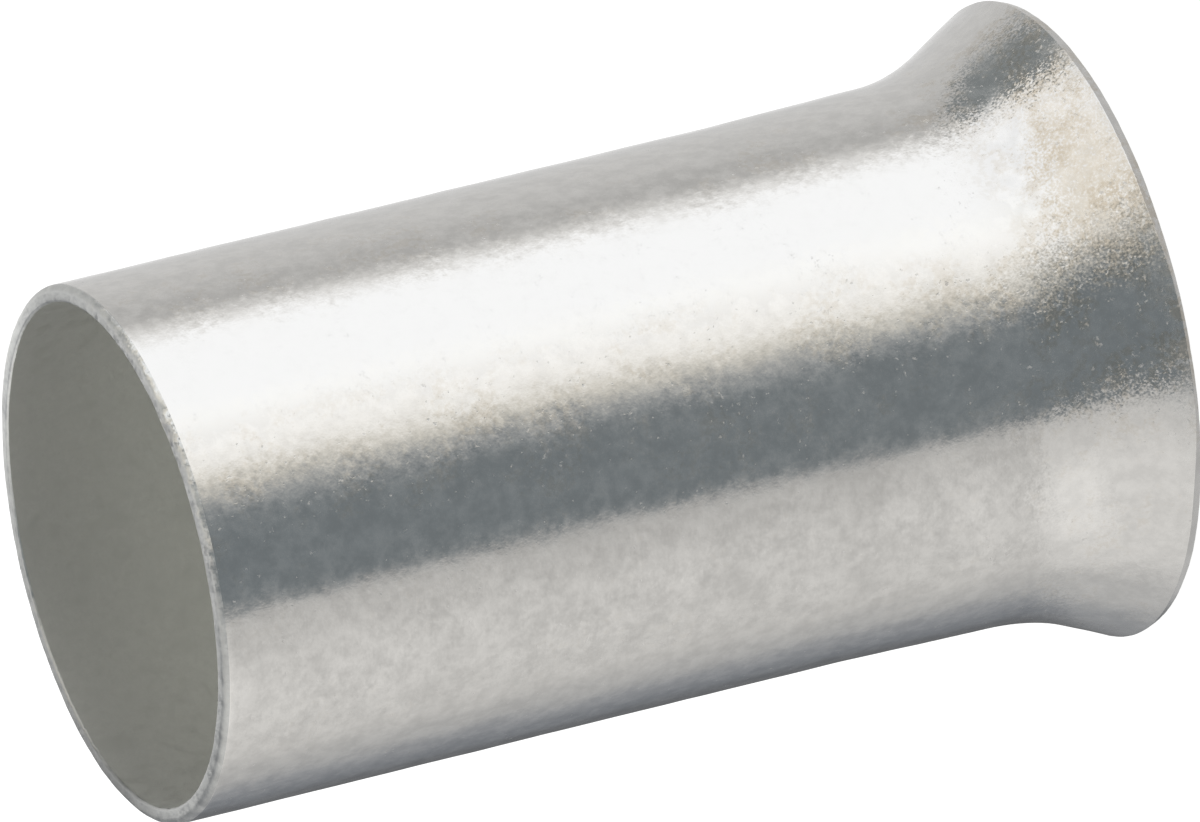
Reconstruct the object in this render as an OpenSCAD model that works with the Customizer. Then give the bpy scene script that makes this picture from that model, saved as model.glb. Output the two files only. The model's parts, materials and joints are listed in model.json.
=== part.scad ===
// Wire ferrule: a bare end sleeve for fine-stranded wire.
// It is one drawn and tinned copper tube, cut square at one end and flared at the
// other. It stands on its flared mouth, with the axis of the tube along +Z and the
// cut end on top. The strands go in through the mouth.

/* [Barrel] */
// Inside diameter of the straight tube
bore_d = 5.9; // [5.6:0.1:6.0]
// Thickness of the drawn wall
wall = 0.2; // [0.15:0.01:0.25]
// Length from the lowest point of the mouth to the cut end
ferrule_l = 12; // [10:1:25]

/* [Flared mouth] */
// Outside diameter over the rim of the mouth
mouth_d = 7.45; // [7.4:0.05:8.5]
// Radius of the bend from the tube into the mouth, on the outside
bend_r = 2.9; // [1.5:0.1:3.0]
// Slope of the mouth's wall against the axis, in degrees
flare_angle = 24; // [18:1:30]

/* [Edges] */
// Rounding on the outer edge of the cut end, where the cutter rolled it over
cut_edge_r = 0.04; // [0.02:0.01:0.07]
// Rounding on both edges of the mouth's rim
rim_edge_r = 0.05; // [0.02:0.01:0.07]

/* [Hidden] */

turn_fn = 180;
bend_steps = 12;
edge_steps = 6;

bore_r = bore_d / 2;
outer_r = bore_r + wall;

// Down the slope of the mouth's wall, and square to it, away from the axis
slope = [sin(flare_angle), -cos(flare_angle)];
across = [cos(flare_angle), sin(flare_angle)];

// Both roundings are allowed for here: across the rim the rounded outer corner is the
// widest point, and along the axis the rounded inner corner is the lowest
rim_r = mouth_d / 2 + rim_edge_r * (across.x + across.y - 1);
bend_out = bend_r * (1 - across.x);
lip_l = (rim_r - outer_r - bend_out) / slope.x;
rim_drop = (wall - rim_edge_r) * across.y + rim_edge_r * (1 - across.x);
flare_h = bend_r * across.y - lip_l * slope.y + rim_drop;

// The wall bends about this point, which lies outside the tube
bend_centre = [outer_r + bend_r, flare_h];
// The rim's end face would pass through the bend's centre, moved down the slope by this
rim_base = bend_centre + (lip_l - rim_edge_r) * slope;
rim_inner_corner = rim_base - (bend_r + wall - rim_edge_r) * across;
rim_outer_corner = rim_base - (bend_r + rim_edge_r) * across;
cut_corner = [outer_r - cut_edge_r, ferrule_l - cut_edge_r];

// Points along an arc about a centre, from one angle to another
function arc(centre, r, from, to, steps) = [
    for (i = [0:steps])
        let (angle = from + (to - from) * i / steps)
            centre + r * [cos(angle), sin(angle)]
];

// Half of the tube's section: down the inside, round the rim and up the outside
module wall_section() {
    polygon(concat(
        [[bore_r, ferrule_l]],
        arc(bend_centre, bend_r + wall, 180, 180 + flare_angle, bend_steps),
        arc(rim_inner_corner, rim_edge_r, 180 + flare_angle, 270 + flare_angle, edge_steps),
        arc(rim_outer_corner, rim_edge_r, 270 + flare_angle, 360 + flare_angle, edge_steps),
        arc(bend_centre, bend_r, 180 + flare_angle, 180, bend_steps),
        arc(cut_corner, cut_edge_r, 0, 90, edge_steps)
    ));
}

module ferrule() {
    color("silver") rotate_extrude($fn = turn_fn) wall_section();
}

ferrule();
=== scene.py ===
# %% [markdown]
# # A bare wire ferrule
# This lesson dresses one small metal part: an end sleeve for fine-stranded wire.
# It is a single drawn copper tube with a tin plating, cut square at one end and
# flared into a bell mouth at the other. The solid model of it is already packed, at
# its real size in metres, and this script loads that model as a fixed frame. The
# script then makes a finer mesh of the same tube, a finish for each of its surfaces,
# and a small studio for it to stand in.

# %% Load the frame
import bpy
import json
import math
from mathutils import Matrix, Vector


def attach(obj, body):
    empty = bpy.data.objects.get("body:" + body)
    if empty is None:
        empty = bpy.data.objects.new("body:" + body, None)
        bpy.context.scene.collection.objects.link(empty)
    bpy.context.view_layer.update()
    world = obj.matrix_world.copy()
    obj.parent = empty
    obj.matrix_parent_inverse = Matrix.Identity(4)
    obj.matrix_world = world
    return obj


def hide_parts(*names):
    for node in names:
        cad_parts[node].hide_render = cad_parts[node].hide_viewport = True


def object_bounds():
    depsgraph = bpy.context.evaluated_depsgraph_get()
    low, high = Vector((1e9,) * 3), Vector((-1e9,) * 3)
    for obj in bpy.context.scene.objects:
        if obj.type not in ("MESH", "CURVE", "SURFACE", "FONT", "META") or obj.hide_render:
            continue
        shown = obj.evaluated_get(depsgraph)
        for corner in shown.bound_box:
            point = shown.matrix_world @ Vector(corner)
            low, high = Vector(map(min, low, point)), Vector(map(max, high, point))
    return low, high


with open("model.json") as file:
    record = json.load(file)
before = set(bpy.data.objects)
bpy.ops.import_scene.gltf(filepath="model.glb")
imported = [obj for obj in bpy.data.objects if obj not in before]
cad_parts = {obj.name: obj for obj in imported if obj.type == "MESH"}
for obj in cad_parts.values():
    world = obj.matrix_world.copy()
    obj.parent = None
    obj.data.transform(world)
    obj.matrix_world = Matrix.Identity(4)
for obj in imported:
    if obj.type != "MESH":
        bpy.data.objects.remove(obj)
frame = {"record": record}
cad_low, cad_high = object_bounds()
print("the solid model's box in mm:", [round(1000 * v, 3) for v in cad_high - cad_low])

# %% [markdown]
# ## The tube's sizes
# Nothing here is typed in that the frame already knows. The record lists the bore and
# the barrel as mounts, with their radius and straight length, and the box gives the
# length and the width of the mouth. What is left over between the straight bore and the
# whole length is the height of the flare.

# %% Read the sizes
MM = 0.001
length = cad_high.z - cad_low.z
mouth_r = (cad_high.x - cad_low.x) / 2
mounts = {mount["name"]: mount["dims"] for mount in frame["record"]["mounts"]}
bore_r = mounts["wire_bore"]["r_mm"] * MM
barrel_r = mounts["barrel"]["r_mm"] * MM
flare_height = length - mounts["wire_bore"]["length_mm"] * MM
print("bore, barrel and mouth radius in mm:",
      [round(r / MM, 3) for r in (bore_r, barrel_r, mouth_r)])

# %% [markdown]
# ## The camera
# A small part like this is best seen from far away through a long lens, so that its
# two ends look the same size. The camera looks down on the cut end by 20 degrees, and
# it is rolled on its side, so that the standing tube lies across the picture with the
# cut end low on the left. The framing is given in barrel radii, which keeps it right
# if the part is ever resized.

# %% Place the camera
look_down = math.radians(20.03)
axis_tilt = math.radians(13.64)
camera_distance = 420 * MM
frame_width = 4.330 * barrel_r
cut_end_left = 1.770 * barrel_r
cut_end_below = 0.5235 * barrel_r

toward_camera = Vector((0, -math.cos(look_down), math.sin(look_down)))
level_right = Vector((1, 0, 0))
level_up = toward_camera.cross(level_right)
picture_right = -math.sin(axis_tilt) * level_right - math.cos(axis_tilt) * level_up
picture_up = math.cos(axis_tilt) * level_right - math.sin(axis_tilt) * level_up

cut_end = Vector((0, 0, cad_high.z))
aim = cut_end + cut_end_left * picture_right + cut_end_below * picture_up
turn = Matrix((picture_right, picture_up, toward_camera)).transposed()

camera_data = bpy.data.cameras.new("long_lens")
camera_data.sensor_width = 36
camera_data.lens = camera_data.sensor_width * camera_distance / frame_width
camera = bpy.data.objects.new("camera", camera_data)
camera.matrix_world = Matrix.Translation(aim + camera_distance * toward_camera) @ turn.to_4x4()
bpy.context.scene.collection.objects.link(camera)
bpy.context.scene.camera = camera
print("lens in mm:", round(camera_data.lens))

# %% [markdown]
# ## Formulas inside a node tree
# The tube's section is worked out by Geometry Nodes, and that takes a fair amount of
# arithmetic. Placing every Math node by hand hides the formula, so this small class
# wraps a socket and lets plain Python operators add the nodes. It is only a shorthand:
# the tree that comes out is an ordinary one.

# %% Wrap sockets so that they can be added and multiplied
class Number:
    def __init__(self, tree, source):
        self.tree = tree
        self.source = source

    def calc(self, operation, other=None):
        node = self.tree.nodes.new("ShaderNodeMath")
        node.operation = operation
        plug(self.tree, self, node.inputs[0])
        if other is not None:
            plug(self.tree, other, node.inputs[1])
        return Number(self.tree, node.outputs[0])

    def __add__(self, other):
        return self.calc("ADD", other)

    def __sub__(self, other):
        return self.calc("SUBTRACT", other)

    def __mul__(self, other):
        return self.calc("MULTIPLY", other)

    def __truediv__(self, other):
        return self.calc("DIVIDE", other)


print("operators of a Number: add, subtract, multiply and divide")

# %% Add a node together with its inputs
def plug(tree, value, socket):
    if isinstance(value, Number):
        tree.links.new(value.source, socket)
    else:
        socket.default_value = value


def add(tree, kind, inputs=(), **settings):
    node = tree.nodes.new(kind)
    for name, value in settings.items():
        setattr(node, name, value)
    for name, value in dict(inputs).items():
        socket = node.inputs[name]
        if isinstance(value, bpy.types.NodeSocket):
            tree.links.new(value, socket)
        else:
            plug(tree, value, socket)
    return node


print("an input can be a value, a socket or a Number")

# %% [markdown]
# ## The tube's section
# The whole ferrule follows one rule: a thin wall, seen in section, turned once round an
# axis. The wall's outline could be drawn point by point, but it has only seven corners:
# two at the cut end, two where the tube bends into the mouth and three at the rim. The
# Fillet Curve node rounds each corner by its own radius, and that is just how the part
# is made, since the bend and the worn edges are all arcs. The bend's radius isn't
# chosen: the flare's height, its width and its slope leave only one that fits.
#
# The rim has a third corner because it isn't simply rounded. The punch presses it
# against a stop, which leaves a narrow band that leans inwards under the widest point.
# That band mirrors the ground and so draws a grey line round the mouth.

# %% Name the sizes of the section and of its wear
# On this piece the flare starts lower and ends narrower than on the solid model
flare_drop = 0.12 * MM
mouth_shrink = 0.025 * MM
flare_slope = math.radians(25.5)
rim_lean = math.radians(20)
rim_band = 0.12 * MM
rim_outer_rounding = 0.02 * MM
rim_foot_rounding = 0.03 * MM
rim_inner_rounding = 0.05 * MM
cut_rounding = 0.085 * MM
burr_rounding = 0.035 * MM

tube_tree = bpy.data.node_groups.new("turned_tube", "GeometryNodeTree")
tube_tree.interface.new_socket("Geometry", in_out="INPUT", socket_type="NodeSocketGeometry")
tube_tree.interface.new_socket("Geometry", in_out="OUTPUT", socket_type="NodeSocketGeometry")
tube_sizes = {
    "Length": length,
    "Bore radius": bore_r,
    "Barrel radius": barrel_r,
    "Mouth radius": mouth_r - mouth_shrink,
    "Flare height": flare_height - flare_drop,
    "Flare slope": flare_slope,
    "Rim lean": rim_lean,
    "Rim band": rim_band,
    "Rim outer rounding": rim_outer_rounding,
    "Rim foot rounding": rim_foot_rounding,
    "Rim inner rounding": rim_inner_rounding,
    "Cut rounding": cut_rounding,
    "Burr rounding": burr_rounding,
    "Longest outside face": 0.085 * MM,
    "Steps around": 360,
    "Mouth drift": 0.086 * MM,
    "Mouth swell": 0.036 * MM,
    "Rim slant": 0.063 * MM,
    "Cut slant": 0.031 * MM,
    "Cut drop": 0.022 * MM,
    "Rim narrowing": 0.05 * MM,
    "Edge raggedness": 0.010 * MM,
    "Dent depth": 0.018 * MM,
    "Ripple depth": 0.0045 * MM,
    "Cut waviness": 0.012 * MM,
}
for name, value in tube_sizes.items():
    kind = "NodeSocketInt" if isinstance(value, int) else "NodeSocketFloat"
    tube_tree.interface.new_socket(name, in_out="INPUT", socket_type=kind)
given = tube_tree.nodes.new("NodeGroupInput")
print("inputs of the tree:", len(tube_sizes) + 1)

# %% Work out the seven corners
def size(name):
    return Number(tube_tree, given.outputs[name])


def constant(value):
    node = add(tube_tree, "ShaderNodeValue")
    node.outputs[0].default_value = value
    return Number(tube_tree, node.outputs[0])


wall = size("Barrel radius") - size("Bore radius")
sine, cosine = size("Flare slope").calc("SINE"), size("Flare slope").calc("COSINE")
tangent, half_tangent = sine / cosine, (size("Flare slope") * 0.5).calc("TANGENT")
outer_rounding, inner_rounding = size("Rim outer rounding"), size("Rim inner rounding")

lean_sine, lean_cosine = size("Rim lean").calc("SINE"), size("Rim lean").calc("COSINE")
corner_cosine = (size("Flare slope") + size("Rim lean")).calc("COSINE")

# The rim's widest point is on its rounding, a little inside of the sharp corner
rim_r = size("Mouth radius") + outer_rounding * ((cosine + lean_cosine) / (corner_cosine + 1) - 1)
rim_z = size("Rim band") * lean_cosine
foot_r = rim_r - size("Rim band") * lean_sine
bend_z = rim_z + (rim_r - size("Barrel radius")) / tangent
bend_r = (size("Flare height") - bend_z) / half_tangent
inner_rim_r = rim_r + (rim_z * sine - wall) / cosine
inner_bend_z = (inner_rim_r - size("Bore radius")) / tangent

# Each corner: its distance from the axis, its height and the radius that rounds it
corners = [
    (size("Bore radius"), size("Length"), size("Burr rounding")),
    (size("Bore radius"), inner_bend_z, bend_r + wall),
    (inner_rim_r, constant(0), inner_rounding),
    (foot_r, constant(0), size("Rim foot rounding")),
    (rim_r, rim_z, outer_rounding),
    (size("Barrel radius"), bend_z, bend_r),
    (size("Barrel radius"), size("Length"), size("Cut rounding")),
]
print("corners in the wall's section:", len(corners))

# %% [markdown]
# ## From corners to a closed wall
# A mesh line gives seven points, and an Index Switch sends each one to its corner. The
# straight stretches are then cut into short faces, but only as short as they need to
# be: the outside carries dents, so it gets many, and the inside can do with longer
# ones. Last, the section is swept round a circle, which is the turning.

# %% Put the corners in place and round them
def pick_by_index(kind, choices):
    node = tube_tree.nodes.new("GeometryNodeIndexSwitch")
    node.data_type = kind
    while len(node.index_switch_items) < len(choices):
        node.index_switch_items.new()
    index = tube_tree.nodes.new("GeometryNodeInputIndex")
    tube_tree.links.new(index.outputs[0], node.inputs["Index"])
    for place, choice in enumerate(choices):
        plug(tube_tree, choice, node.inputs[place + 1])
    return node.outputs[0]


def section_point(radius, height):
    # Along the circle, X points away from the axis and Y points down
    node = add(tube_tree, "ShaderNodeCombineXYZ")
    plug(tube_tree, radius - size("Barrel radius"), node.inputs["X"])
    plug(tube_tree, height * -1, node.inputs["Y"])
    return Number(tube_tree, node.outputs[0])


arc_steps = 10
line = add(tube_tree, "GeometryNodeMeshLine", {"Count": len(corners)})
outline = add(tube_tree, "GeometryNodeMeshToCurve", {"Mesh": line.outputs[0]})
closed = add(tube_tree, "GeometryNodeSetSplineCyclic",
             {"Geometry": outline.outputs[0], "Cyclic": True})
places = pick_by_index("VECTOR", [section_point(radius, height) for radius, height, _ in corners])
placed = add(tube_tree, "GeometryNodeSetPosition",
             {"Geometry": closed.outputs[0], "Position": places})
radii = pick_by_index("FLOAT", [round_by for _, _, round_by in corners])
rounded = add(tube_tree, "GeometryNodeFilletCurve",
              {"Curve": placed.outputs[0], "Count": arc_steps, "Radius": radii}, mode="POLY")
print("steps in each rounded corner:", arc_steps)

# %% Cut the long faces and sweep the section
here = add(tube_tree, "GeometryNodeInputPosition").outputs[0]
next_point = add(tube_tree, "GeometryNodeOffsetPointInCurve", {"Offset": 1})
there = add(tube_tree, "GeometryNodeFieldAtIndex",
            {"Value": here, "Index": next_point.outputs["Point Index"]},
            data_type="FLOAT_VECTOR", domain="POINT")
gap = tube_tree.nodes.new("ShaderNodeVectorMath")
gap.operation = "DISTANCE"
tube_tree.links.new(here, gap.inputs[0])
tube_tree.links.new(there.outputs[0], gap.inputs[1])
# How far a point lies inside the barrel's outside, over the wall: 0 outside and 1 inside
depth = (Number(tube_tree, add(tube_tree, "ShaderNodeSeparateXYZ", {"Vector": here}).outputs["X"])
         * -1 / wall).calc("MAXIMUM", 0)
inside_extra = 1.6
longest_face = size("Longest outside face") * (depth * inside_extra + 1)
cuts = (Number(tube_tree, gap.outputs["Value"]) / longest_face).calc("FLOOR")
short_faces = add(tube_tree, "GeometryNodeSubdivideCurve",
                  {"Curve": rounded.outputs[0], "Cuts": cuts})

circle = add(tube_tree, "GeometryNodeCurvePrimitiveCircle",
             {"Resolution": size("Steps around"), "Radius": size("Barrel radius")})
swept = add(tube_tree, "GeometryNodeCurveToMesh",
            {"Curve": circle.outputs[0], "Profile Curve": short_faces.outputs[0]})
# The sweep leaves its faces looking into the wall, so they are turned over
turned = add(tube_tree, "GeometryNodeFlipFaces", {"Mesh": swept.outputs[0]})
print("nodes so far:", len(tube_tree.nodes))

# %% [markdown]
# ## What the tools left behind
# A real ferrule is never a perfect turning. The punch that flares it sits a little off
# centre, so the mouth drifts to one side and its rim isn't quite square, and the cutter
# comes through the other end at a slant. Loose parts tumble against each other while
# they are plated, which leaves shallow dents a few thousandths of a millimetre deep. On
# bright metal those show clearly, because a reflection moves twice as far as the surface
# turns. So they are real geometry here, and bump is kept for what is too fine for a
# mesh. The noise reads nothing but the place, so every run gives the same dents.

# %% Helpers that read a place on the surface
def field(kind, output):
    return add(tube_tree, kind).outputs[output]


def tree_vector(tree, operation, first, second=None, scale=None):
    node = tree.nodes.new("ShaderNodeVectorMath")
    node.operation = operation
    tree.links.new(first, node.inputs[0])
    if isinstance(second, bpy.types.NodeSocket):
        tree.links.new(second, node.inputs[1])
    elif second is not None:
        node.inputs[1].default_value = second
    if scale is not None:
        plug(tree, scale, node.inputs["Scale"])
    return node.outputs["Value" if operation == "DOT_PRODUCT" else "Vector"]


def noise(feature_size, detail):
    node = add(tube_tree, "ShaderNodeTexNoise",
               {"Vector": field("GeometryNodeInputPosition", "Position"),
                "Scale": 1 / feature_size, "Detail": detail, "Roughness": 0.5})
    return Number(tube_tree, node.outputs["Fac"]) - 0.5


def ramp_down(value, start, end):
    node = add(tube_tree, "ShaderNodeMapRange", {"Value": value}, interpolation_type="SMOOTHSTEP")
    plug(tube_tree, start, node.inputs["From Min"])
    plug(tube_tree, end, node.inputs["From Max"])
    node.inputs["To Min"].default_value = 1
    node.inputs["To Max"].default_value = 0
    return Number(tube_tree, node.outputs[0])


spot = field("GeometryNodeInputPosition", "Position")
spot_parts = add(tube_tree, "ShaderNodeSeparateXYZ", {"Vector": spot})
x, y, z = [Number(tube_tree, spot_parts.outputs[axis]) for axis in "XYZ"]
print("nodes once the place is read:", len(tube_tree.nodes))

# %% Drift and slant both ends
# Where a change is full and where it is gone: in flare heights, or in metres under the cut
swell_full, swell_gone = 0.85, 2.1
wavy_full, wavy_gone = 0.1 * MM, 0.3 * MM
slant_full, slant_gone = 0.15 * MM, 1.2 * MM
wave_size = 0.55 * MM

toward_mouth = ramp_down(z, constant(0), size("Flare height"))
drift = size("Mouth drift") * toward_mouth
swell = size("Mouth swell") / size("Barrel radius")
swell = swell * ramp_down(z, size("Flare height") * swell_full, size("Flare height") * swell_gone)
slant = size("Rim slant") * toward_mouth * (y / size("Mouth radius") + 1)

# The cutter came through a little slanted, so the far side is longer than the near side
under_cut = size("Length") - z
near_cut = ramp_down(under_cut, constant(wavy_full), constant(wavy_gone))
waviness = size("Cut waviness") * noise(wave_size, 2) * near_cut
cut_slant = size("Cut slant") * y / size("Barrel radius") - size("Cut drop")
cut_slant = cut_slant * ramp_down(under_cut, constant(slant_full), constant(slant_gone))
print("nodes with the drift and the slants:", len(tube_tree.nodes))

# %% Dent the outside and roughen the edges
dent_size, ripple_size, ragged_size = 1.15 * MM, 0.38 * MM, 0.13 * MM
dent_kept_inside = 0.2

# Ragged edges: the cutter leaves one on the inside and the punch one on the rim
at_cut_edge = ramp_down(under_cut, constant(0), constant(0.09 * MM))
at_rim = ramp_down(z, constant(0.05 * MM), constant(0.25 * MM))
ragged = size("Edge raggedness") * noise(ragged_size, 3) * (at_cut_edge + at_rim)

# Dents come from outside, so the faces that look in at the axis hardly have any
facing = field("GeometryNodeInputNormal", "Normal")
outward = add(tube_tree, "ShaderNodeCombineXYZ", {"X": x, "Y": y}).outputs[0]
looks_in = Number(tube_tree, tree_vector(tube_tree, "DOT_PRODUCT", facing, outward))
looks_in = looks_in.calc("LESS_THAN", 0)
dents = size("Dent depth") * noise(dent_size, 1.5) + size("Ripple depth") * noise(ripple_size, 2)
dents = dents * (looks_in * (dent_kept_inside - 1) + 1) + ragged
print("nodes with the dents:", len(tube_tree.nodes))

# %% Narrow a stretch of the rim's band and move the surface
# From -0.65 to 0.3 of the mouth's radius along X, the band was pressed narrower
sideways = x / size("Mouth radius")
narrow_side = ramp_down(sideways, constant(0), constant(0.3))
narrow_side = narrow_side * (ramp_down(sideways, constant(-0.65), constant(-0.35)) * -1 + 1)
above_foot = ramp_down(z, constant(0.13 * MM), constant(0.6 * MM))
above_foot = above_foot * (ramp_down(z, constant(0), constant(0.09 * MM)) * -1 + 1)
narrowing = size("Rim narrowing") * narrow_side * above_foot * (looks_in - 1)
off_centre = add(tube_tree, "ShaderNodeCombineXYZ",
                 {"X": drift + x * swell, "Y": y * swell, "Z": slant + waviness + cut_slant + narrowing})
along_normal = tree_vector(tube_tree, "SCALE", facing, scale=dents)
shift = tree_vector(tube_tree, "ADD", off_centre.outputs[0], along_normal)
worn = add(tube_tree, "GeometryNodeSetPosition",
           {"Geometry": turned.outputs[0], "Offset": shift})
print("nodes with the wear:", len(tube_tree.nodes))

# %% [markdown]
# ## Finishes
# Tin straight from the plating bath is a pale, faintly warm metal with a satin shine.
# It has almost no colour to paint: what the eye reads as its finish is how sharply it
# mirrors its surroundings, and how often small marks break that mirror. All three
# surfaces of the tube share one recipe, with other amounts. The outside was drawn
# smooth, the inside never touched anything and stays dull, and the cut face shows the
# grain that the cutter left.
#
# Every pattern reads Object coordinates, turned into millimetres first, so that each
# scale below is simply the number of features in a millimetre.

# %% Helpers for the recipe
def mix_color(tree, factor, low, high):
    node = tree.nodes.new("ShaderNodeMix")
    node.data_type = "RGBA"
    for socket, value in ((node.inputs[0], factor), (node.inputs[6], low), (node.inputs[7], high)):
        if isinstance(value, bpy.types.NodeSocket):
            tree.links.new(value, socket)
        else:
            plug(tree, value, socket)
    return node.outputs[2]


def remap(tree, value, low, high, to_low=0.0, to_high=1.0):
    node = add(tree, "ShaderNodeMapRange",
               {"Value": value, "From Min": low, "From Max": high,
                "To Min": to_low, "To Max": to_high}, interpolation_type="SMOOTHSTEP")
    return Number(tree, node.outputs[0])


def grains(tree, in_mm, per_mm, detail, roughness=0.5):
    return add(tree, "ShaderNodeTexNoise", {"Vector": in_mm, "Scale": per_mm, "Detail": detail,
                                            "Roughness": roughness}).outputs


print("a noise of scale 14 has grains", round(1 / 14, 2), "mm wide")

# %% [markdown]
# ## Where the marks and the painted light are
# Marks aren't spread evenly over a real part. The flare is the widest place, so it
# rubs against its neighbours in the plating barrel, and this piece was rubbed more on
# one side. Beside that side lies the strip of the barrel where the white panel's
# highlight falls. That strip is painted nearly free of marks, so that the highlight's
# core stays clean and even. The inside and the cut face also get painted light and
# shade in their colour. A painted map could say all this, but a map is an image, and
# it has to be unwrapped on the tube. Two plain measures are enough here: the height over
# the rim, and the bearing, which says how squarely a place faces one side.

# %% Find the worn side, the highlight's clear strip and the painted light
flare_mm = flare_height / MM
# The second bearing is the middle of the strip where the white panel's highlight falls, which is painted
# nearly free of marks
highlight_bearing, rubbed_bearing = math.radians(36), math.radians(26)
barrel_wear, flare_wear = 0.42, 1
# How much lighter the inside's painted light makes its colour, and how far under the cut it reaches
inside_painted_light_gain, painted_light_depth_mm = 1.56, 2.6


def toward(tree, in_mm, bearing):
    # 1 on the side of the barrel that faces this bearing, and -1 on the opposite side
    way = (math.sin(bearing), -math.cos(bearing), 0)
    return Number(tree, tree_vector(tree, "DOT_PRODUCT", in_mm, way)) / (barrel_r / MM)


def wear_here(tree, in_mm, height_up, clouds):
    wear = remap(tree, height_up, flare_mm * 1.3, flare_mm * 0.5, barrel_wear, flare_wear)
    wear = wear * remap(tree, clouds, 0.36, 0.64, 0.5, 1.3)
    return wear * remap(tree, toward(tree, in_mm, rubbed_bearing), 0.64, 0.95, 0.32, 1.2)


def highlight_strip_here(tree, in_mm, height_up):
    # Painted highlight: the strip of the barrel where the white panel's highlight falls is kept nearly
    # free of marks, so that the highlight's core looks clean and even
    highlight_strip = remap(tree, toward(tree, in_mm, highlight_bearing), 0.945, 0.985)
    return highlight_strip * remap(tree, height_up, flare_mm * 0.5, flare_mm)


def painted_light_with_depth(tree, in_mm, height_up):
    # Painted light: the inside's colour is darkest next to the cut and gets lighter deeper down, in
    # place of the light that comes in through the open mouth
    top = length / MM
    return remap(tree, height_up, top, top - painted_light_depth_mm, 1, inside_painted_light_gain)


def painted_light_on_cut(tree, in_mm, height_up):
    # Painted light: on the far side the cut face's colour is lighter toward +X and darker toward -X, in
    # place of the brighter surroundings it mirrors on the +X side
    far_side = remap(tree, toward(tree, in_mm, math.pi), 0, 0.6)
    return toward(tree, in_mm, math.pi / 2) * far_side * 0.6 + 1.05


print("the most worn and the cleanest side, in degrees from the camera's side:",
      round(math.degrees(rubbed_bearing)), round(math.degrees(highlight_bearing)))

# %% [markdown]
# ## A mirror made of crystals
# Tin grows in crystals, and each of them tilts the surface by a degree or so. A Bump
# node could do this, but its hills have to be steep before they show, and steep hills
# look like leather. It is more direct to tilt the normal itself by a random amount.
# Then the reflection breaks up into grains along its edges, while a plain stretch of it
# stays plain.

# %% Tilt the surface crystal by crystal
crystals_per_mm, lumps_per_mm = 34, 10
# Lumps and single crystals share these parts between them
all_parts = 3
tilt_along_axis = 2.4


def tilt_by_crystals(tree, in_mm, height_up, smooth_normal, amount):
    # Mostly lumps of crystals on the barrel, and mostly single crystals on the flare
    lump_parts = remap(tree, height_up, flare_mm * 1.2, flare_mm * 0.6, 2, 0.6)
    lumps = grains(tree, in_mm, lumps_per_mm, 1.5)["Color"]
    crystals = grains(tree, in_mm, crystals_per_mm, 1)["Color"]
    lumps = tree_vector(tree, "SCALE", lumps, scale=lump_parts)
    crystals = tree_vector(tree, "SCALE", crystals, scale=lump_parts * -1 + all_parts)
    tilt = tree_vector(tree, "ADD", crystals, lumps)
    # The mean is taken off, so that no side is favoured
    tilt = tree_vector(tree, "SUBTRACT", tilt, (all_parts / 2,) * 3)
    # Drawing made the crystals tilt more along the axis than around it
    tilt = tree_vector(tree, "MULTIPLY", tilt, (1, 1, tilt_along_axis))
    tilt = tree_vector(tree, "SCALE", tilt, scale=amount)
    tilted = tree_vector(tree, "ADD", smooth_normal, tilt)
    return tree_vector(tree, "NORMALIZE", tilted)


print("a crystal is about", round(1 / crystals_per_mm, 2), "mm wide")

# %% [markdown]
# ## Clouds, tarnish and specks
# The plating is a little cloudy. Thin tarnish gathers in patches on it, and only in the
# roughest spots within them, and dull specks break the shine. Each of these is a mask
# made from noise, and the places found above decide how strong it is. Separate painted
# maps could look the same, but they wouldn't follow the wear when it is moved.

# %% Mask the clouds, the tarnish and the specks
specks_per_mm = 17


def clouded(tree, mottle, highlight_strip, color, clouding):
    darker = [c * (1 - clouding) for c in color] + [1]
    # Painted highlight: where the white panel's highlight falls, the clouds are lifted and the full,
    # lighter colour shows
    clearer = remap(tree, mottle, 0.3, 0.68).calc("MAXIMUM", highlight_strip)
    return mix_color(tree, clearer, darker, list(color) + [1])


def tarnish_here(tree, clouds, mottle, grain, wear, highlight_strip):
    worn_more = wear.calc("MINIMUM", 0.8) - 0.4
    patch = remap(tree, (Number(tree, clouds) + worn_more * 0.15).source, 0.42, 0.6)
    # The highlight's strip gets no tarnish, as part of the painted highlight
    patch = patch * (wear + 0.15) * (highlight_strip * -1 + 1)
    freckles = (Number(tree, mottle) + Number(tree, grain)) * 0.5 + worn_more * 0.12
    return patch * remap(tree, freckles.source, 0.48, 0.6)


def specks_here(tree, in_mm, wear, highlight_strip):
    # Only the peaks of a fine noise become specks, and wear lets more of them through
    fine = grains(tree, in_mm, specks_per_mm, 2, 0.45)["Fac"]
    peaks = Number(tree, fine) + (wear.calc("MINIMUM", 0.95) - 1) * 0.12
    return remap(tree, peaks.source, 0.59, 0.75) * (highlight_strip * -0.9 + 1)


print("a speck is about", round(1 / specks_per_mm, 2), "mm wide")

# %% [markdown]
# ## One recipe for all three surfaces
# The colour comes first, with its clouds and its tarnish, and on the inside and the cut
# face with painted light and shade. The shine follows, and the specks dull it. Last come
# the shallow relief and the crystals. Each surface only gives its own amounts, so that
# the three still look like one piece of metal. Three separate materials would drift
# apart as soon as one of them is changed.

# %% The plated metal's recipe
speck_dulling, speck_pit_um, rim_dulling = 0.34, 1.1, 0.1


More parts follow.
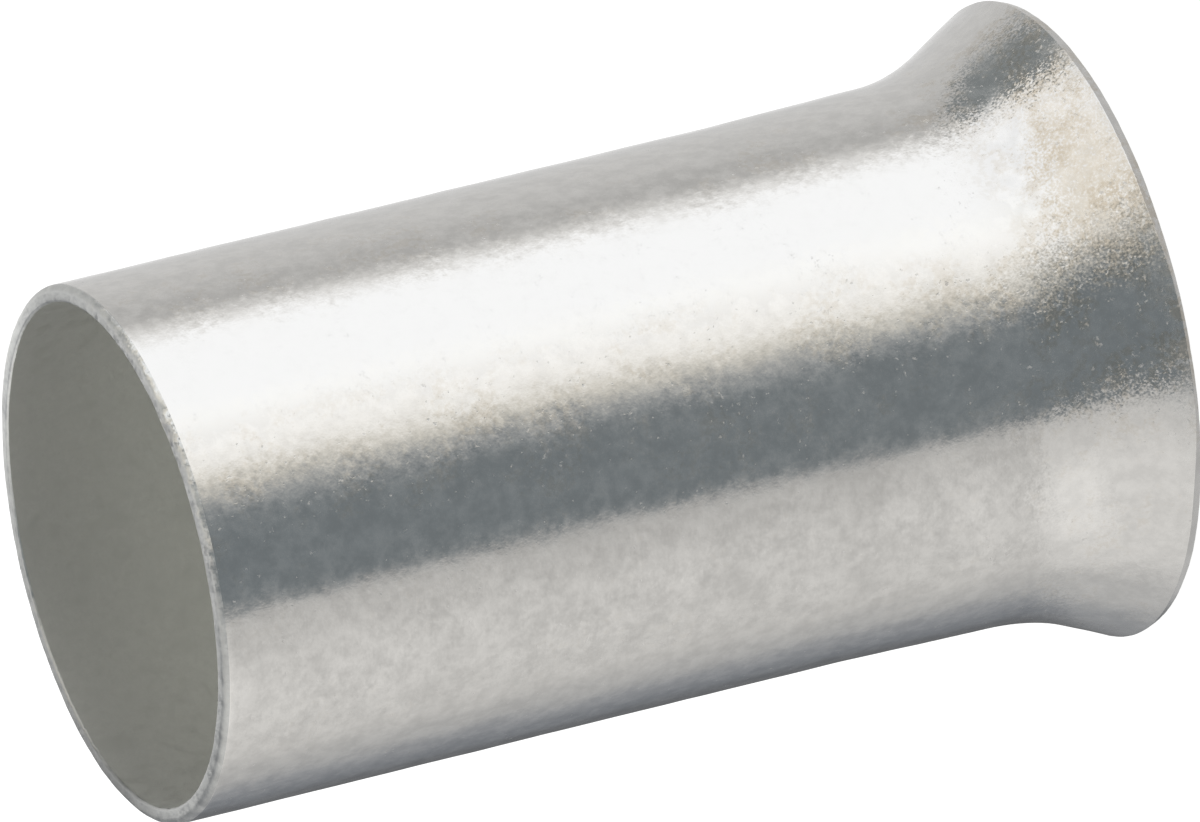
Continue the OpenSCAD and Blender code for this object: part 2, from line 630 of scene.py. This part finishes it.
def plated_metal(name, color, stain, metallic, roughness, clouding, grain_um, orange_um,
                 speck_share, tarnish, crystal_tilt, painted_light_scale=None):
    material = bpy.data.materials.new(name)
    material.use_nodes = True
    tree = material.node_tree
    shader = tree.nodes["Principled BSDF"]
    shader.inputs["Metallic"].default_value = metallic

    place = add(tree, "ShaderNodeTexCoord").outputs["Object"]
    in_mm = add(tree, "ShaderNodeMapping", {"Vector": place, "Scale": (1 / MM,) * 3}).outputs[0]
    height_up = add(tree, "ShaderNodeSeparateXYZ", {"Vector": in_mm}).outputs["Z"]
    clouds = grains(tree, in_mm, 1.5, 5, 0.62)["Fac"]
    mottle = grains(tree, in_mm, 4.6, 4, 0.66)["Fac"]
    grain = grains(tree, in_mm, 14, 3, 0.62)["Fac"]
    wear = wear_here(tree, in_mm, height_up, clouds)
    # The strip where the white panel's highlight falls, kept clear of marks as painted highlight
    highlight_strip = highlight_strip_here(tree, in_mm, height_up)
    specks = specks_here(tree, in_mm, wear, highlight_strip) * speck_share

    stained = tarnish_here(tree, clouds, mottle, grain, wear, highlight_strip) * tarnish
    cloudy = clouded(tree, mottle, highlight_strip, color, clouding)
    painted = mix_color(tree, stained, cloudy, list(stain) + [1])
    # Painted light and shade: where a surface has a scale for it, its colour is made lighter or darker
    # by place
    if painted_light_scale is not None:
        painted = tree_vector(tree, "SCALE", painted, scale=painted_light_scale(tree, in_mm, height_up))
    tree.links.new(painted, shader.inputs["Base Color"])

    rubbed_rim = remap(tree, height_up, 0.45, 0.12)
    shine = remap(tree, mottle, 0.34, 0.68, roughness * 0.85, roughness * 1.45)
    shine = shine + specks * speck_dulling + rubbed_rim * rim_dulling
    plug(tree, shine, shader.inputs["Roughness"])

    # Heights are in micrometres, and the Bump node's distance turns them into metres
    relief = Number(tree, grain) * wear * grain_um + Number(tree, mottle) * orange_um
    relief = relief - specks * speck_pit_um
    bump = add(tree, "ShaderNodeBump", {"Height": relief, "Strength": 1, "Distance": 0.001 * MM})
    normal = tilt_by_crystals(tree, in_mm, height_up, bump.outputs[0], wear * crystal_tilt)
    tree.links.new(normal, shader.inputs["Normal"])
    return material


print("the cloudy patches are about", round(1 / 1.5, 1), "mm wide")

# %% Make the three finishes
tin_color, tin_stain = (0.74, 0.73, 0.71), (0.59, 0.555, 0.50)
inside_color, inside_stain = (0.46, 0.463, 0.435), (0.42, 0.40, 0.32)
cut_color = (0.66, 0.665, 0.65)
outside_tin = plated_metal("tin_outside", tin_color, tin_stain, metallic=1, roughness=0.14,
                           clouding=0.13, grain_um=1.4, orange_um=2.5, speck_share=1,
                           tarnish=0.7, crystal_tilt=0.095)
# The inside's colour carries painted light that gets lighter with depth
inside_tin = plated_metal("tin_inside", inside_color, inside_stain, metallic=0.5, roughness=0.6,
                          clouding=0.03, grain_um=0.6, orange_um=0.3, speck_share=0,
                          tarnish=0.1, crystal_tilt=0.05, painted_light_scale=painted_light_with_depth)
# The cut face's colour carries painted light, lighter toward +X on the far side
cut_tin = plated_metal("tin_cut_face", cut_color, tin_stain, metallic=1, roughness=0.36,
                       clouding=0.25, grain_um=8, orange_um=16, speck_share=1,
                       tarnish=0.5, crystal_tilt=0.9, painted_light_scale=painted_light_on_cut)
print("finishes:", [material.name for material in (outside_tin, inside_tin, cut_tin)])

# %% [markdown]
# ## Which surface gets which finish
# The tree can tell the surfaces apart by which way they face. A face on the inside
# looks toward the axis, and the cut face looks straight up at the very top. Everything
# else is outside. Set Material can therefore pick its faces with a short test, and no
# list of faces is needed.

# %% Give each surface its finish and close the tree
def set_finish(geometry, material, test=None):
    node = add(tube_tree, "GeometryNodeSetMaterial", {"Geometry": geometry})
    node.inputs["Material"].default_value = material
    if test is not None:
        plug(tube_tree, test, node.inputs["Selection"])
    return node.outputs[0]


cut_zone = 0.18 * MM
least_upward = 0.12
facing_parts = add(tube_tree, "ShaderNodeSeparateXYZ", {"Vector": facing})
facing_up = Number(tube_tree, facing_parts.outputs["Z"])
at_the_top = z.calc("GREATER_THAN", size("Length") - cut_zone)
is_cut = facing_up.calc("GREATER_THAN", least_upward) * at_the_top

dressed = set_finish(worn.outputs[0], outside_tin)
dressed = set_finish(dressed, inside_tin, looks_in)
dressed = set_finish(dressed, cut_tin, is_cut)
smooth = add(tube_tree, "GeometryNodeSetShadeSmooth", {"Geometry": dressed, "Shade Smooth": True})
real = add(tube_tree, "GeometryNodeRealizeInstances", {"Geometry": smooth.outputs[0]})
result = tube_tree.nodes.new("NodeGroupOutput")
tube_tree.links.new(real.outputs[0], result.inputs[0])
print("nodes in the whole tree:", len(tube_tree.nodes))

# %% [markdown]
# ## From tree to plain mesh
# The modifier's inputs are set by each socket's identifier, before the object is first
# evaluated. The evaluated result is then copied into a plain mesh and the modifier is
# dropped, so that the mesh holds exactly what is seen.

# %% Make the ferrule
host = bpy.data.objects.new("tube_host", bpy.data.meshes.new("tube_host"))
bpy.context.scene.collection.objects.link(host)
modifier = host.modifiers.new("turned_tube", "NODES")
modifier.node_group = tube_tree
for item in tube_tree.interface.items_tree:
    if item.in_out == "INPUT" and item.name in tube_sizes:
        modifier[item.identifier] = tube_sizes[item.name]

evaluated = host.evaluated_get(bpy.context.evaluated_depsgraph_get())
mesh = bpy.data.meshes.new_from_object(evaluated)
mesh.name = "tinned_sleeve"
bpy.data.objects.remove(host)
sleeve = bpy.data.objects.new("tinned_sleeve", mesh)
bpy.context.scene.collection.objects.link(sleeve)

heights = [vertex.co.z for vertex in mesh.vertices]
lift = cad_low.z - min(heights)
for vertex in mesh.vertices:
    vertex.co.z += lift
mesh.update()
print("triangles:", sum(len(face.vertices) - 2 for face in mesh.polygons),
      "lift in mm:", round(lift / MM, 4))
volume = sum(face.area * face.normal.dot(face.center) for face in mesh.polygons) / 3
print("volume in cubic mm, positive when the faces look outwards:", round(volume / MM ** 3, 2))
for number, finish in enumerate(mesh.materials):
    print(finish.name, sum(face.material_index == number for face in mesh.polygons), "faces")

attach(sleeve, "root")
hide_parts("ferrule")

# %% [markdown]
# ## The floor and the white around it
# The background is pure white. That comes from the floor's and the world's own colour,
# as the camera sees them, and never from more light. The floor still takes the
# ferrule's soft shadow, because only a part of its brightness is its own. Bright metal
# is better off without the floor in its reflections, since a floor that close would
# fill the whole lower half with one flat white. So the floor is hidden from them, and
# the metal sees the white world past it.

# %% Helpers for the stage
def seen_directly(tree):
    # 1 for the camera and for reflections, and 0 for the light that falls on a surface
    path = add(tree, "ShaderNodeLightPath")
    seen = Number(tree, path.outputs["Is Camera Ray"])
    for ray in ("Is Glossy Ray", "Is Transmission Ray"):
        seen = seen.calc("MAXIMUM", Number(tree, path.outputs[ray]))
    return seen


def flat_mesh(name, points, faces, material):
    data = bpy.data.meshes.new(name)
    data.from_pydata(points, [], faces)
    data.materials.append(material)
    made = bpy.data.objects.new(name, data)
    bpy.context.scene.collection.objects.link(made)
    return made


print("materials before the stage:", len(bpy.data.materials))

# %% Build the floor
# It glows with the first amount, and adds the second where it is seen directly
floor_glow, floor_glow_seen = 0.4, 0.48
floor_grey = 0.32
floor_half = 0.8
floor_gap = 0.005 * MM

floor_finish = bpy.data.materials.new("pale_floor")
floor_finish.use_nodes = True
tree = floor_finish.node_tree
tree.nodes.clear()
matt = add(tree, "ShaderNodeBsdfDiffuse", {"Color": (floor_grey, floor_grey, floor_grey, 1)})
own_light = add(tree, "ShaderNodeEmission", {"Color": (1, 1, 1, 1)})
plug(tree, seen_directly(tree) * floor_glow_seen + floor_glow, own_light.inputs["Strength"])
both = add(tree, "ShaderNodeAddShader")
tree.links.new(matt.outputs[0], both.inputs[0])
tree.links.new(own_light.outputs[0], both.inputs[1])
tree.links.new(both.outputs[0], add(tree, "ShaderNodeOutputMaterial").inputs[0])

floor_z = cad_low.z - floor_gap
floor = flat_mesh("floor",
                  [(-floor_half, -floor_half, floor_z), (floor_half, -floor_half, floor_z),
                   (floor_half, floor_half, floor_z), (-floor_half, floor_half, floor_z)],
                  [(0, 1, 2, 3)], floor_finish)
floor.visible_glossy = False
print("the floor is", floor_half * 2, "m wide")

# %% Build the world
world_glow, world_glow_seen = 0.75, 0.25
world = bpy.data.worlds.new("white_studio")
bpy.context.scene.world = world
world.use_nodes = True
tree = world.node_tree
tree.nodes.clear()
backdrop = add(tree, "ShaderNodeBackground", {"Color": (1, 1, 1, 1)})
plug(tree, seen_directly(tree) * world_glow_seen + world_glow, backdrop.inputs["Strength"])
tree.links.new(backdrop.outputs[0], add(tree, "ShaderNodeOutputWorld").inputs[0])
print("the world lights with", world_glow, "and is seen with", world_glow + world_glow_seen)

# %% [markdown]
# ## Cards and panels
# A mirror has no look of its own, and bright tin is nearly a mirror. Studios that show
# metal well therefore light the surroundings instead of the part: a white panel gives
# the long highlight, a dark card beside it gives that highlight its edge, and greys
# fill the rest. A tube squeezes everything around it into narrow bands, so each card
# here becomes one band that runs the whole length of the barrel and bends over the
# flare.
#
# Each card is a patch of a large sphere, placed by its bearing and its height over the
# horizon in degrees. Bearing 0 is toward the camera and bearing 90 is along +X. Only
# reflections can see the cards, and their edges are soft, as a cloth panel's are. A
# flat card would be simpler to build, but one that reaches round half of the tube has
# to be curved.

# %% Give a card its colours and soft edges

def card_finish(name, stops, brightness, soft_degrees, bearings, rise):
    material = bpy.data.materials.new(name)
    material.use_nodes = True
    tree = material.node_tree
    tree.nodes.clear()
    place = add(tree, "ShaderNodeUVMap", uv_map="card").outputs[0]
    parts = add(tree, "ShaderNodeSeparateXYZ", {"Vector": place})
    across, upward = parts.outputs["X"], parts.outputs["Y"]

    # The colour changes from stop to stop, and the card fades out at all four edges
    ramp = add(tree, "ShaderNodeValToRGB", {"Fac": across})
    ramp.color_ramp.interpolation = "EASE"
    elements = ramp.color_ramp.elements
    while len(elements) < len(stops):
        elements.new(1)
    first, last = bearings
    for element, (bearing, color) in zip(elements, stops):
        element.position = (bearing - first) / (last - first)
        element.color = (*color, 1)
    # The four fades are in degrees, at the start, the end, the lower and the upper edge
    start, end, low, high = soft_degrees
    width = abs(last - first)
    solid = remap(tree, across, 0, start / width) * remap(tree, across, 1, 1 - end / width)
    solid = solid * remap(tree, upward, 0, low / rise) * remap(tree, upward, 1, 1 - high / rise)

    light = add(tree, "ShaderNodeEmission", {"Color": ramp.outputs[0], "Strength": brightness})
    clear = add(tree, "ShaderNodeBsdfTransparent")
    blend = add(tree, "ShaderNodeMixShader", {"Fac": solid})
    tree.links.new(clear.outputs[0], blend.inputs[1])
    tree.links.new(light.outputs[0], blend.inputs[2])
    tree.links.new(blend.outputs[0], add(tree, "ShaderNodeOutputMaterial").inputs[0])
    material.cycles.emission_sampling = "NONE"
    return material


print("a card fades at its start, end, lower and upper edge")

# %% Build one card
card_distance, layer_gap = 400 * MM, 6 * MM
card_centre = Vector((0, 0, flare_height / 2))
columns, rows = 48, 24


def card(name, bearings, heights, stops, brightness=1, soft=(4, 4, 4, 4), layer=0, slope=0,
         lean=(0, 0)):
    start, end = bearings
    low, high = heights
    # A card in a higher layer stands farther away, behind those in the lower layers
    reach = card_distance + layer_gap * layer
    points = []
    for row in range(rows + 1):
        for column in range(columns + 1):
            along = column / columns
            # The lower edge may climb from one side of the card to the other, and both
            # sides may lean as they rise
            bottom = low + slope * along
            height = math.radians(bottom + (high - bottom) * row / rows)
            sideways = lean[0] + (lean[1] - lean[0]) * along
            bearing = math.radians(start + (end - start) * along) + sideways * (height + look_down)
            flat = reach * math.cos(height)
            points.append(card_centre + Vector((flat * math.sin(bearing),
                                                -flat * math.cos(bearing),
                                                reach * math.sin(height))))
    step = columns + 1
    faces = [(row * step + column, row * step + column + 1,
              (row + 1) * step + column + 1, (row + 1) * step + column)
             for row in range(rows) for column in range(columns)]
    finish = card_finish(name, stops, brightness, soft, bearings, high - low)
    made = flat_mesh(name, points, faces, finish)
    uv = made.data.uv_layers.new(name="card")
    for loop in made.data.loops:
        row, column = divmod(loop.vertex_index, step)
        uv.data[loop.index].uv = (column / columns, row / rows)
    for ray in ("camera", "diffuse", "transmission", "shadow", "volume_scatter"):
        setattr(made, "visible_" + ray, False)
    return made


print("the nearest cards stand", round((card_distance - layer_gap) / MM), "mm from the ferrule")

# %% [markdown]
# ## The studio
# The white panel makes the long highlight. Beside it, on the camera's side, stands a
# dark card, and the panel's light fades slowly toward it and turns warm, as a lamp's
# does at the rim of a softbox. The dark card overlaps the panel, so it stands nearer.
# Above the panel hangs a cream ceiling that only the flare can see, because the flare's
# surface leans back and looks higher than the barrel does. A second dark card stands up
# there too. Below everything lies a dim ground. The narrow band under the mouth's rim
# leans down to it and draws it as a thin grey outline.

# %% Place the dark cards and the ground
def grey(level, warmth=0.0):
    return (level * (1 + warmth), level, level * (1 - 1.6 * warmth))


deep, high_deep = (0.222, 0.250, 0.268), (0.28, 0.305, 0.315)
card("dark_card", (-37.6, 32), (-44, 78), [(-37.6, deep), (32, deep)], soft=(5, 32, 6, 4),
     layer=0, lean=(0.05, 0.21))
card("dim_ground", (-180, 180), (-89, -27),
     [(-180, grey(0.6)), (-60, grey(0.57)), (0, grey(0.54)), (60, grey(0.66)), (180, grey(0.64))],
     soft=(0.01, 0.01, 0.01, 5), layer=-1)
card("high_dark_card", (96, 136), (-14, 70), [(96, high_deep), (136, high_deep)],
     soft=(5, 20, 7, 6), layer=1, slope=16)
print("greys of the dark cards:", deep[1], high_deep[1])

# %% Place the light panels
card("white_panel", (4, 108), (-44, 28),
     [(4, (0.84, 0.84, 0.86)), (18, (0.914, 0.867, 0.775)), (29, (0.95, 0.94, 0.915)),
      (38, (0.99, 0.99, 0.985)), (47, (0.985, 0.995, 1)), (58, (0.96, 0.975, 1)),
      (84, (0.96, 0.975, 1)), (108, (0.95, 0.93, 0.9))],
     brightness=1.31, soft=(2, 22, 4, 17), layer=2)
card("cream_ceiling", (0, 112), (4, 78), [(0, (0.97, 0.92, 0.83)), (112, (0.97, 0.92, 0.84))],
     brightness=1.13, soft=(14, 16, 6, 4), layer=3)
card("bounce_card", (-48, -102), (-20.5, 13), [(-48, grey(1, 0.01)), (-102, grey(1, 0.01))],
     soft=(20, 18, 11, 16), layer=2.5)
card("back_panel", (-32, -120), (-22, 46),
     [(-32, grey(0.67, 0.01)), (-45, grey(0.77, 0.01)), (-62, grey(0.87, 0.01)),
      (-84, grey(0.85, 0.01)), (-104, grey(0.85, 0.01)), (-120, grey(0.72, 0.01))],
     soft=(6, 16, 8, 6), layer=3)

# %% [markdown]
# ## The walls
# Opposite the white panel stands a grey wall that darkens toward the back. The back
# panel, the small bounce card and a high wall stand in front of it, and higher up than
# the barrel looks. They give the flare and the cut face tones of their own on that
# side. On the panel's side a second wall closes the ring, and the slow change along it
# shades the last few degrees of the barrel, up to its outline.

# %% Place the walls
card("grey_wall", (-28, -180), (-44, 78),
     [(-28, grey(0.53, 0.012)), (-46, grey(0.58, 0.012)), (-62, grey(0.66, 0.012)),
      (-90, grey(0.68, 0.012)), (-108, grey(0.64, 0.012)), (-121, grey(0.56)),
      (-136, grey(0.36, -0.04)), (-148, grey(0.25, -0.06)), (-160, grey(0.16, -0.04)),
      (-180, grey(0.13))],
     soft=(3, 1, 4, 4), layer=4)
card("high_wall", (-85, -180), (-19, 78),
     [(-85, grey(0.68, 0.01)), (-128, grey(0.6)), (-145, grey(0.38, -0.03)),
      (-160, grey(0.3, -0.03)), (-180, grey(0.36, -0.02))],
     soft=(14, 1, 9, 4), layer=3.5)
card("low_grey_wall", (88, 180), (-44, 78),
     [(88, grey(0.6, 0.008)), (110, grey(0.59, 0.005)), (128, grey(0.695, 0.004)),
      (146, grey(0.71, 0.004)), (160, grey(0.7)), (180, grey(0.98))],
     soft=(4, 1, 4, 4), layer=4)

# %% [markdown]
# ## One lamp
# The cards are only reflections and light nothing. The dull inside of the tube and the
# soft shadow on the floor need real light. Most of it comes from the white world, and
# one large lamp above the camera's side gives it a direction. It is kept out of the
# reflections, where it would be a square of its own among the bands.

# %% Hang the lamp and keep the colours plain
lamp_power, lamp_width = 0.35, 0.25
lamp_place = Vector((0.02, -0.05, 0.32))
lamp_data = bpy.data.lights.new("soft_lamp", "AREA")
lamp_data.energy = lamp_power
lamp_data.size = lamp_width
lamp = bpy.data.objects.new("soft_lamp", lamp_data)
lamp.location = lamp_place
lamp.rotation_euler = (-lamp_place).to_track_quat("-Z", "Y").to_euler()
lamp.visible_glossy = False
bpy.context.scene.collection.objects.link(lamp)
bpy.context.scene.view_settings.view_transform = "Standard"
print("the lamp hangs", round(lamp_place.length / MM), "mm from the ferrule")
